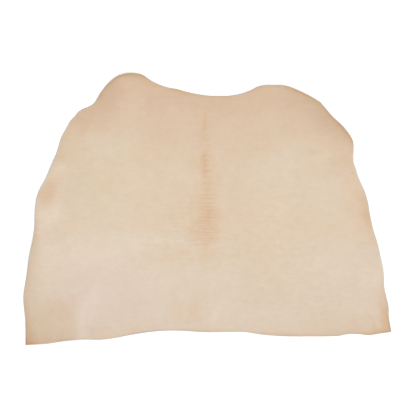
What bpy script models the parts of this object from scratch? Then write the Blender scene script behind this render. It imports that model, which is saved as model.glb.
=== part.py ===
"""A natural vegetable-tanned leather hide: a double shoulder, one sheet, lying grain side up.

The hide is a single sheet of even thickness with a cut edge across its back end, two flanks,
and a wavy neck edge between its two shoulder lobes. It lies flat, apart from low waves where
the flanks, the corners and the lobes stand a little off the surface below.

Frame, in metres: +X runs across the hide to its right flank, +Y runs along the backbone from
the cut edge to the neck, +Z is up. The origin is under the middle of the hide, on the surface
that it lies on.
"""

import math
from collections import namedtuple

import bmesh
import bpy
from mathutils import Vector

# ---------------------------------------------------------------- driving dimensions

MM = 0.001
THICKNESS = 3.0 * MM  # leather split to 3 mm, sold as 7 to 8 ounce
COLUMNS = 50  # facets across the hide, about 28 mm each along the cut edge
ROWS = 40  # facets along the backbone, about 26 mm each
STEPS_PER_SPAN = 24  # points read from the outline's curve between two landmarks

# ---------------------------------------------------------------- outline

# Landmarks round the edge, in millimetres: across is measured from the backbone line, positive
# to the right, and along from the lowest corner towards the neck. Each table is one side of the
# sheet, and a smooth curve runs through all of them, broken only at the three sharp corners: the
# two where the cut edge ends, and the one on the right lobe's side.
Landmark = namedtuple("Landmark", "name across along")

CUT_EDGE = [
    Landmark("left corner", -691.5, 0),
    Landmark("left run", -611, 5.3),
    Landmark("left wave foot low", -541, 16),
    Landmark("left wave foot", -487, 21),
    Landmark("left step low", -396, 21),
    Landmark("left step foot", -358, 25.5),
    Landmark("left step", -287, 39),
    Landmark("left step high", -197, 52.2),
    Landmark("left of backbone far", -150, 55.5),
    Landmark("left of backbone", -85, 55),
    Landmark("backbone end", -20, 51),
    Landmark("right of backbone", 90, 50.5),
    Landmark("right of backbone far", 147, 50.5),
    Landmark("right step", 221, 40),
    Landmark("right hollow", 313, 33.8),
    Landmark("right long run", 400, 33.5),
    Landmark("right run", 482, 34.1),
    Landmark("right run end", 517, 36),
    Landmark("right notch", 546, 41.6),
    Landmark("right notch middle", 590, 42.3),
    Landmark("right notch end", 634, 38.3),
    Landmark("right tip foot", 665, 44),
    Landmark("right corner", 716, 51),
]

RIGHT_FLANK = [
    Landmark("right corner", 716, 51),
    Landmark("right corner rise", 706.5, 118),
    Landmark("right belly low", 706, 146),
    Landmark("right belly foot", 698.5, 182),
    Landmark("right belly", 690, 219),
    Landmark("right belly middle", 687.4, 271),
    Landmark("right belly high", 681.3, 311),
    Landmark("right flank foot", 672.3, 351),
    Landmark("right flank rise", 666.4, 380),
    Landmark("right flank low", 659.9, 404),
    Landmark("right flank step", 645.8, 450),
    Landmark("right flank slope", 641, 471),
    Landmark("right flank", 634.4, 503),
    Landmark("right flank bulge", 626, 553),
    Landmark("right flank high", 616, 587),
    Landmark("right flank top", 594.3, 633.4),
    Landmark("right armpit low", 584.8, 658),
    Landmark("right armpit step", 578.4, 681),
    Landmark("right armpit kink", 571.3, 702),
    Landmark("right armpit", 570.4, 725),
    Landmark("right armpit high", 571.3, 759),
    Landmark("right bend", 570.2, 780.5),
    Landmark("right shoulder", 540, 832),
    Landmark("right lobe end", 488, 883),
    Landmark("right lobe turn", 461.5, 913.8),
    Landmark("right lobe side", 443, 935.8),
]

NECK_EDGE = [
    Landmark("left lobe round", -330, 1037.7),
    Landmark("left lobe top", -283, 1047.1),
    Landmark("left lobe fall", -244, 1041.3),
    Landmark("left lobe foot", -203, 1015.5),
    Landmark("neck left", -147, 992.9),
    Landmark("neck slope", -104, 984.6),
    Landmark("neck slope low", -80, 977.5),
    Landmark("neck at backbone", -33, 967),
    Landmark("neck hollow", 15, 960),
    Landmark("neck hollow floor", 50, 959.1),
    Landmark("neck hollow right", 92, 959.5),
    Landmark("neck right", 146.5, 970.4),
    Landmark("right lobe slope", 178, 982),
    Landmark("right lobe foot", 202, 994.5),
    Landmark("right lobe rise", 232, 1001),
    Landmark("right lobe flat", 268, 1000.8),
    Landmark("right lobe top", 297, 1000.8),
    Landmark("right lobe fall", 361, 980),
    Landmark("right lobe far slope", 404, 958.9),
    Landmark("right lobe side", 443, 935.8),
]

LEFT_FLANK = [
    Landmark("left corner", -691.5, 0),
    Landmark("left belly low", -692.6, 93),
    Landmark("left belly", -699.8, 190),
    Landmark("left belly high", -687.2, 268),
    Landmark("left flank low", -675.4, 349),
    Landmark("left flank step", -664.4, 402),
    Landmark("left flank", -657.9, 448),
    Landmark("left flank upper", -655.8, 488),
    Landmark("left flank high", -651.8, 541),
    Landmark("left hip low", -649.7, 565),
    Landmark("left hip", -638.1, 600),
    Landmark("left hip rise", -617.9, 636),
    Landmark("left armpit", -599.9, 671),
    Landmark("left upper flank", -572.6, 741),
    Landmark("left bend low", -550.8, 807),
    Landmark("left bend foot", -532, 840),
    Landmark("left bend", -518.4, 864),
    Landmark("left bend high", -503, 880.3),
    Landmark("left shoulder", -485, 901.6),
    Landmark("left shoulder top", -470.5, 908.6),
    Landmark("left notch", -434, 926),
    Landmark("left lobe rise", -403.3, 971.2),
    Landmark("left lobe side", -369.3, 1010.9),
    Landmark("left lobe round", -330, 1037.7),
]

SHARP_CORNERS = {"left corner", "right corner", "right lobe side"}

# ---------------------------------------------------------------- waves

# Where the leather stands off the surface, in millimetres and degrees. Each wave is a low swell
# with its crest through (across, along), pointing the way of heading, counted anticlockwise from
# +X. It dies away to nothing at reach along the crest, and at left and right of the crest, looking
# the way of heading, so all the leather between the waves lies flat.
Wave = namedtuple("Wave", "name across along heading reach left right height")

WAVES = [
    Wave("left corner wave", -515, 20, 69, 290, 170, 60, 10),
    Wave("left belly edge", -660, 330, 97, 190, 60, 75, 5),
    Wave("left hip wave", -640, 520, 10, 95, 62, 70, 6),
    Wave("left armpit wave", -590, 690, 165, 100, 60, 52, 6),
    Wave("left lobe wave", -315, 1040, 262, 240, 110, 95, 8),
    Wave("neck wave left", -110, 905, 172, 150, 85, 75, 4),
    Wave("neck wave right", 130, 895, 4, 170, 95, 85, 4),
    Wave("right lobe wave", 350, 880, 325, 250, 120, 125, 9),
    Wave("right armpit wave", 575, 655, 12, 150, 80, 85, 6),
    Wave("right belly wave", 680, 330, 4, 140, 95, 105, 6),
    Wave("right corner curl", 676, 80, 118, 130, 60, 45, 4),
    Wave("middle wave", 20, 60, 62, 200, 90, 70, 3),
]


# ---------------------------------------------------------------- shape functions


def ring_of_landmarks():
    """All landmarks once, anticlockwise from the left corner."""
    ring = CUT_EDGE[:-1] + RIGHT_FLANK[:-1] + NECK_EDGE[::-1][:-1] + LEFT_FLANK[::-1][:-1]
    return ring


def point_of(mark):
    return Vector((mark.across * MM, mark.along * MM, 0.0))


def tangent_at(before, here, after):
    """The direction of the edge at a landmark, weighted by how near its neighbours are."""
    to_here, from_here = here - before, after - here
    a, b = to_here.length, from_here.length
    return (to_here / a * b + from_here / b * a) / (a + b)


def edge_spans():
    """The outline as cubic spans: for each landmark, the points up to the next landmark."""
    ring = ring_of_landmarks()
    spans = {}
    for i, mark in enumerate(ring):
        behind, ahead, beyond = ring[i - 1], ring[(i + 1) % len(ring)], ring[(i + 2) % len(ring)]
        start, end = point_of(mark), point_of(ahead)
        chord = end - start
        leave = chord.normalized()
        arrive = chord.normalized()
        if mark.name not in SHARP_CORNERS:
            leave = tangent_at(point_of(behind), start, end)
        if ahead.name not in SHARP_CORNERS:
            arrive = tangent_at(start, end, point_of(beyond))
        leave, arrive = leave * chord.length, arrive * chord.length
        points = []
        for step in range(STEPS_PER_SPAN):
            t = step / STEPS_PER_SPAN
            points.append(
                start * (2 * t**3 - 3 * t**2 + 1)
                + leave * (t**3 - 2 * t**2 + t)
                + end * (3 * t**2 - 2 * t**3)
                + arrive * (t**3 - t**2)
            )
        spans[mark.name] = points
    return spans


def side_curve(spans, side, forwards):
    """One side of the sheet as closely spaced points, from its first landmark to its last."""
    marks = side if forwards else side[::-1]
    points = [p for mark in marks[:-1] for p in spans[mark.name]] + [point_of(marks[-1])]
    return points if forwards else points[::-1]


def evenly_along(points, count):
    """count + 1 points at equal distances along a chain of points."""
    lengths = [0.0]
    for a, b in zip(points, points[1:]):
        lengths.append(lengths[-1] + (b - a).length)
    found, i = [], 0
    for k in range(count + 1):
        target = lengths[-1] * k / count
        while i < len(points) - 2 and lengths[i + 1] < target:
            i += 1
        share = (target - lengths[i]) / (lengths[i + 1] - lengths[i])
        found.append(points[i].lerp(points[i + 1], min(1.0, share)))
    return found


def lift(across, along):
    """How far the leather's underside stands off the surface, in metres, at a place in millimetres."""
    height = 0.0
    for wave in WAVES:
        heading = math.radians(wave.heading)
        dx, dy = across - wave.across, along - wave.along
        on_crest = dx * math.cos(heading) + dy * math.sin(heading)
        off_crest = dy * math.cos(heading) - dx * math.sin(heading)
        width = wave.left if off_crest > 0 else wave.right
        far = (on_crest / wave.reach) ** 2 + (off_crest / width) ** 2
        if far < 1.0:
            height += wave.height * MM * (1.0 - far) ** 2
    return height


# ---------------------------------------------------------------- the sheet


def leather():
    """Undyed vegetable-tanned leather: pale pinkish tan, dull, not metallic."""
    material = bpy.data.materials.new("natural_leather")
    material.use_nodes = True
    shader = material.node_tree.nodes["Principled BSDF"]
    shader.inputs["Base Color"].default_value = (0.72, 0.58, 0.44, 1.0)
    shader.inputs["Roughness"].default_value = 0.62
    shader.inputs["Metallic"].default_value = 0.0
    material.diffuse_color = (0.72, 0.58, 0.44, 1.0)
    return material


def hide_sheet(collection):
    """A grid stretched to the outline between its four sides, lifted by the waves and thickened."""
    spans = edge_spans()
    cut = evenly_along(side_curve(spans, CUT_EDGE, True), COLUMNS)
    right = evenly_along(side_curve(spans, RIGHT_FLANK, True), ROWS)
    neck = evenly_along(side_curve(spans, NECK_EDGE, False), COLUMNS)
    left = evenly_along(side_curve(spans, LEFT_FLANK, False), ROWS)

    whole = cut + right + neck + left
    middle = Vector(
        (
            (min(p.x for p in whole) + max(p.x for p in whole)) / 2,
            (min(p.y for p in whole) + max(p.y for p in whole)) / 2,
            0.0,
        )
    )

    mesh = bpy.data.meshes.new("hide")
    sheet = bmesh.new()
    bmesh.ops.create_grid(sheet, x_segments=COLUMNS, y_segments=ROWS, size=0.5)
    for vert in sheet.verts:
        s, t = vert.co.x + 0.5, vert.co.y + 0.5
        i, j = round(s * COLUMNS), round(t * ROWS)
        flat = (
            cut[i] * (1 - t)
            + neck[i] * t
            + left[j] * (1 - s)
            + right[j] * s
            - cut[0] * (1 - s) * (1 - t)
            - cut[-1] * s * (1 - t)
            - neck[0] * (1 - s) * t
            - neck[-1] * s * t
        )
        vert.co = flat - middle
        vert.co.z = lift(flat.x / MM, flat.y / MM)
    sheet.to_mesh(mesh)
    sheet.free()

    hide = bpy.data.objects.new("hide", mesh)
    collection.objects.link(hide)
    mesh.materials.append(leather())
    mesh.shade_smooth()
    mesh.set_sharp_from_angle(angle=math.radians(40))

    thick = hide.modifiers.new("thickness", "SOLIDIFY")
    thick.thickness = THICKNESS
    thick.offset = 1.0
    thick.use_even_offset = False
    return hide


def build():
    for obj in list(bpy.data.objects):
        bpy.data.objects.remove(obj, do_unlink=True)
    collection = bpy.data.collections.new("leather_hide")
    bpy.context.scene.collection.children.link(collection)
    hide_sheet(collection)


build()
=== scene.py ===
"""Looks of the natural vegetable-tanned leather hide: a double shoulder lying grain side up.

The sheet repeats the construction model's outline and waves, at a fine pitch, and adds what the
leather itself has: the backbone line with its growth wrinkles, a soft cross ridge, faint growth
lines, a rounded cut edge, the grain, and the tanned tone of the neck, edges and backbone. Its
colour also carries painted light: a painted shadow along the cut edge, painted shade where the
edges, shoulders and lobes curve down, beside the folds and in the wrinkles' creases, and painted
highlights on the folds' crests.
"""

import math
from collections import namedtuple

import bmesh
import bpy
import numpy as np
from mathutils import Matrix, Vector
from mathutils.kdtree import KDTree


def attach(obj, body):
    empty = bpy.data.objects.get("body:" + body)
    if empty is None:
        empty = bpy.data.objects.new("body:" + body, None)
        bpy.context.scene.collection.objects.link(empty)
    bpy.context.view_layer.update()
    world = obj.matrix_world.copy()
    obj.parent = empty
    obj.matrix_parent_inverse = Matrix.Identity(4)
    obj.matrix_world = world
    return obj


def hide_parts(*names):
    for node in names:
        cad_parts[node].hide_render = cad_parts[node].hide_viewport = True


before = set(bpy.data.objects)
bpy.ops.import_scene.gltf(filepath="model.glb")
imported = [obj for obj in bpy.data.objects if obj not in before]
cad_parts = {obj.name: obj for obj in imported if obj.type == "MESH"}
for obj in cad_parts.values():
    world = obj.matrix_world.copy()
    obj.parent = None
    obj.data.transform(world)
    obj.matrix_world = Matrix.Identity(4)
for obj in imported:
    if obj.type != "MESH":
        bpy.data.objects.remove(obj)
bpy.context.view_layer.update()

MM = 0.001
THICKNESS = 3.0 * MM

# ---------------------------------------------------------------- outline

# Landmarks round the edge, in millimetres: across from the backbone line, along from the lowest
# corner. rim is how dark the last few millimetres of the grain are there: browner tone, and a painted
# shadow along the cut edge; wide is how far the darker tone of the edge shows over the next few
# centimetres: browner tone, and painted shade where the edge curves down; both from 0 to 1.
Landmark = namedtuple("Landmark", "name across along rim wide")

CUT_EDGE = [
    Landmark("left corner", -691.5, 0, 1.35, 1.9),
    Landmark("left run", -611, 5.3, 0.5, 0.35),
    Landmark("left wave foot low", -541, 16, 0.7, 0.2),
    Landmark("left wave foot", -487, 21, 0.4, 0.05),
    Landmark("left step low", -396, 21, 0.35, 0.05),
    Landmark("left step foot", -358, 25.5, 0.3, 0.05),
    Landmark("left step", -287, 39, 0.35, 0.1),
    Landmark("left step high", -197, 52.2, 0.3, 0.05),
    Landmark("left of backbone far", -150, 55.5, 0.3, 0.0),
    Landmark("left of backbone", -85, 55, 0.3, 0.0),
    Landmark("backbone end", -20, 51, 0.35, 0.05),
    Landmark("right of backbone", 90, 50.5, 0.3, 0.05),
    Landmark("right of backbone far", 147, 50.5, 0.3, 0.05),
    Landmark("right step", 221, 40, 0.45, 0.1),
    Landmark("right hollow", 313, 33.8, 0.75, 0.1),
    Landmark("right long run", 400, 33.5, 0.6, 0.15),
    Landmark("right run", 482, 34.1, 0.6, 0.25),
    Landmark("right run end", 517, 36, 0.6, 0.25),
    Landmark("right notch", 546, 41.6, 0.6, 0.25),
    Landmark("right notch middle", 590, 42.3, 0.7, 0.25),
    Landmark("right notch end", 634, 38.3, 0.9, 0.3),
    Landmark("right tip foot", 665, 44, 1.05, 0.6),
    Landmark("right corner", 716, 51, 1.15, 1.3),
]

RIGHT_FLANK = [
    Landmark("right corner", 716, 51, 1.15, 1.3),
    Landmark("right corner rise", 706.5, 118, 0.85, 0.9),
    Landmark("right belly low", 706, 146, 0.95, 0.8),
    Landmark("right belly foot", 698.5, 182, 0.75, 0.4),
    Landmark("right belly", 690, 219, 0.5, 0.15),
    Landmark("right belly middle", 687.4, 271, 0.3, 0.0),
    Landmark("right belly high", 681.3, 311, 0.2, 0.0),
    Landmark("right flank foot", 672.3, 351, 0.25, 0.05),
    Landmark("right flank rise", 666.4, 380, 0.25, 0.05),
    Landmark("right flank low", 659.9, 404, 0.3, 0.1),
    Landmark("right flank step", 645.8, 450, 0.35, 0.2),
    Landmark("right flank slope", 641, 471, 0.4, 0.3),
    Landmark("right flank", 634.4, 503, 0.5, 0.4),
    Landmark("right flank bulge", 626, 553, 0.35, 0.25),
    Landmark("right flank high", 616, 587, 0.25, 0.2),
    Landmark("right flank top", 594.3, 633.4, 0.2, 0.12),
    Landmark("right armpit low", 584.8, 658, 0.2, 0.1),
    Landmark("right armpit step", 578.4, 681, 0.15, 0.07),
    Landmark("right armpit kink", 571.3, 702, 0.1, 0.05),
    Landmark("right armpit", 570.4, 725, 0.1, 0.05),
    Landmark("right armpit high", 571.3, 759, 0.4, 0.3),
    Landmark("right bend", 570.2, 780.5, 0.7, 0.55),
    Landmark("right shoulder", 540, 832, 0.95, 1.05),
    Landmark("right lobe end", 488, 883, 0.95, 0.75),
    Landmark("right lobe turn", 461.5, 913.8, 0.9, 0.55),
    Landmark("right lobe side", 443, 935.8, 0.9, 0.45),
]

NECK_EDGE = [
    Landmark("left lobe round", -330, 1037.7, 1.05, 0.25),
    Landmark("left lobe top", -283, 1047.1, 1.15, 0.55),
    Landmark("left lobe fall", -244, 1041.3, 0.95, 0.6),
    Landmark("left lobe foot", -203, 1015.5, 0.7, 0.25),
    Landmark("neck left", -147, 992.9, 0.4, 0.1),
    Landmark("neck slope", -104, 984.6, 0.75, 0.25),
    Landmark("neck slope low", -80, 977.5, 0.6, 0.25),
    Landmark("neck at backbone", -33, 967, 0.35, 0.2),
    Landmark("neck hollow", 15, 960, 0.25, 0.1),
    Landmark("neck hollow floor", 50, 959.1, 0.25, 0.1),
    Landmark("neck hollow right", 92, 959.5, 0.25, 0.1),
    Landmark("neck right", 146.5, 970.4, 0.25, 0.0),
    Landmark("right lobe slope", 178, 982, 0.4, 0.0),
    Landmark("right lobe foot", 202, 994.5, 0.4, 0.0),
    Landmark("right lobe rise", 232, 1001, 0.35, 0.0),
    Landmark("right lobe flat", 268, 1000.8, 0.45, 0.0),
    Landmark("right lobe top", 297, 1000.8, 0.55, 0.0),
    Landmark("right lobe fall", 361, 980, 0.85, 0.25),
    Landmark("right lobe far slope", 404, 958.9, 0.85, 0.35),
    Landmark("right lobe side", 443, 935.8, 0.9, 0.45),
]

LEFT_FLANK = [
    Landmark("left corner", -691.5, 0, 1.35, 1.9),
    Landmark("left belly low", -692.6, 93, 1.1, 1.4),
    Landmark("left belly", -699.8, 190, 0.85, 0.9),
    Landmark("left belly high", -687.2, 268, 0.75, 0.65),
    Landmark("left flank low", -675.4, 349, 0.7, 0.5),
    Landmark("left flank step", -664.4, 402, 0.75, 0.3),
    Landmark("left flank", -657.9, 448, 0.8, 0.1),
    Landmark("left flank upper", -655.8, 488, 0.55, 0.05),
    Landmark("left flank high", -651.8, 541, 0.25, 0.0),
    Landmark("left hip low", -649.7, 565, 0.3, 0.05),
    Landmark("left hip", -638.1, 600, 0.25, 0.1),
    Landmark("left hip rise", -617.9, 636, 0.22, 0.1),
    Landmark("left armpit", -599.9, 671, 0.3, 0.1),
    Landmark("left upper flank", -572.6, 741, 0.4, 0.15),
    Landmark("left bend low", -550.8, 807, 0.42, 0.2),
    Landmark("left bend foot", -532, 840, 0.45, 0.25),
    Landmark("left bend", -518.4, 864, 0.5, 0.3),
    Landmark("left bend high", -503, 880.3, 0.5, 0.25),
    Landmark("left shoulder", -485, 901.6, 0.4, 0.15),
    Landmark("left shoulder top", -470.5, 908.6, 0.35, 0.15),
    Landmark("left notch", -434, 926, 0.35, 0.3),
    Landmark("left lobe rise", -403.3, 971.2, 0.7, 0.45),
    Landmark("left lobe side", -369.3, 1010.9, 0.9, 0.5),
    Landmark("left lobe round", -330, 1037.7, 1.05, 0.25),
]

SHARP_CORNERS = {"left corner", "right corner", "right lobe side"}
STEPS_PER_SPAN = 24

# ---------------------------------------------------------------- waves

# The construction model's waves: where the leather stands off the surface, in millimetres.
Wave = namedtuple("Wave", "name across along heading reach left right height")

WAVES = [
    Wave("left corner wave", -515, 20, 69, 290, 170, 60, 10),
    Wave("left belly edge", -660, 330, 97, 190, 60, 75, 5),
    Wave("left hip wave", -640, 520, 10, 95, 62, 70, 6),
    Wave("left armpit wave", -590, 690, 165, 100, 60, 52, 6),
    Wave("left lobe wave", -315, 1040, 262, 240, 110, 95, 8),
    Wave("neck wave left", -110, 905, 172, 150, 85, 75, 4),
    Wave("neck wave right", 130, 895, 4, 170, 95, 85, 4),
    Wave("right lobe wave", 350, 880, 325, 250, 120, 125, 9),
    Wave("right armpit wave", 575, 655, 12, 150, 80, 85, 6),
    Wave("right belly wave", 680, 330, 4, 140, 95, 105, 6),
    Wave("right corner curl", 676, 80, 118, 130, 60, 45, 4),
    Wave("middle wave", 20, 60, 62, 200, 90, 70, 3),
]

# ---------------------------------------------------------------- grain relief

# Growth wrinkles that cross the backbone, in zones up the hide: along is where a zone starts,
# pitch is from one wrinkle to the next, left and right are how far they run, depth is in mm.
Zone = namedtuple("Zone", "along pitch left right depth")

WRINKLES = [
    Zone(300, 16.0, 60, 60, 0.04),
    Zone(385, 13.0, 66, 66, 0.14),
    Zone(402, 11.5, 66, 66, 0.36),
    Zone(470, 12.0, 60, 60, 0.40),
    Zone(545, 15.0, 40, 50, 0.36),
    Zone(610, 21.0, 26, 36, 0.36),
    Zone(690, 21.0, 24, 26, 0.40),
    Zone(740, 21.0, 22, 22, 0.36),
    Zone(800, 22.0, 14, 14, 0.16),
    Zone(930, 24.0, 10, 10, 0.06),
]

# Soft ridges, troughs and streaks in the grain: a line through these places, in millimetres. Where
# a line stands up, its paler tan is a painted highlight on the crest, and where it sinks, its
# browner tan is painted shade; on the flat streaks (height 0) tan is the leather's own tone.
Ridge = namedtuple("Ridge", "name places width height tan")

RIDGES = [
    Ridge("cross ridge", [(-225, 408), (-185, 404), (-150, 409), (-105, 404), (-62, 402)], 7, 0.8, -0.065),
    Ridge("cross ridge right", [(-45, 388), (-12, 383), (40, 386), (95, 392)], 8, 0.8, -0.03),
    Ridge("hollow under ridge", [(-175, 380), (-90, 374), (-10, 358), (90, 366)], 15, -0.5, 0.015),
    Ridge(
        "left corner fold",
        [(-478, 3), (-480, 60), (-479, 97), (-475, 135), (-465, 160), (-447, 183), (-435, 206), (-424, 232), (-416, 262), (-396, 300)],
        9, 0.35, -0.05,
    ),
    Ridge("middle fold", [(10, 55), (24, 99), (32, 117), (46, 149), (72, 170), (95, 195)], 9, 0.45, -0.04),
    Ridge("right corner fold", [(636, 138), (649, 108), (661, 86), (674, 58)], 7, 0.6, -0.12),
    Ridge("right corner fold side", [(634, 130), (638, 110), (643, 92), (649, 70)], 8, -0.2, 0.055),
    Ridge("right corner brown streak", [(684, 144), (682, 118), (683, 92), (687, 58)], 6, 0.0, 0.12),
    Ridge("right corner pale streak", [(663, 186), (663, 160), (664, 140), (665, 116)], 8, 0.0, -0.08),
    Ridge("right corner pale edge", [(695, 160), (694, 135), (696, 110)], 5, 0.0, -0.07),
    Ridge("left corner tip", [(-698, 7), (-678, 8), (-660, 9)], 8, 0.0, 0.25),
    Ridge("left run fold", [(-604, 2), (-592, 16), (-580, 28), (-570, 40)], 4, 0.3, -0.09),
    Ridge("left run fold side", [(-618, 4), (-607, 18), (-596, 33)], 5, -0.2, 0.06),
    Ridge("neck streak", [(-160, 652), (-95, 646), (-30, 625)], 14, 0.5, -0.035),
    Ridge("backbone", [(-6, 962), (-4, 880), (-3, 800), (-2, 730), (2, 640), (6, 560), (6, 480), (6, 420)], 3.2, -0.45, 0.0),
]

# ---------------------------------------------------------------- tone

# Colour up the hide: along in millimetres, tan is how brown the grain is, and dark how much greyer its colour is
# made, most at the bottom and at the neck.
Level = namedtuple("Level", "along tan dark")

LEVELS = [
    Level(0, 0.010, 0.025),
    Level(120, -0.028, 0.018),
    Level(205, -0.022, 0.008),
    Level(300, 0.000, -0.008),
    Level(350, 0.028, -0.012),
    Level(420, 0.045, -0.018),
    Level(470, 0.072, -0.018),
    Level(650, 0.070, -0.018),
    Level(720, 0.095, -0.008),
    Level(800, 0.155, 0.003),
    Level(900, 0.195, 0.020),
    Level(963, 0.240, 0.024),
]

# Patches of tone and painted light: a blot at (across, along), reach long by width wide, its long
# side turned by heading. tan adds brown, dark adds grey (takes it away below zero), which is partly
# the leather's own tone and partly painted shade and painted light for how the light falls on the
# curled edges, shoulders, lobes and folds, and a firm blot has a clearer outline.
Patch = namedtuple("Patch", "name across along heading reach width tan dark firm")

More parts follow.
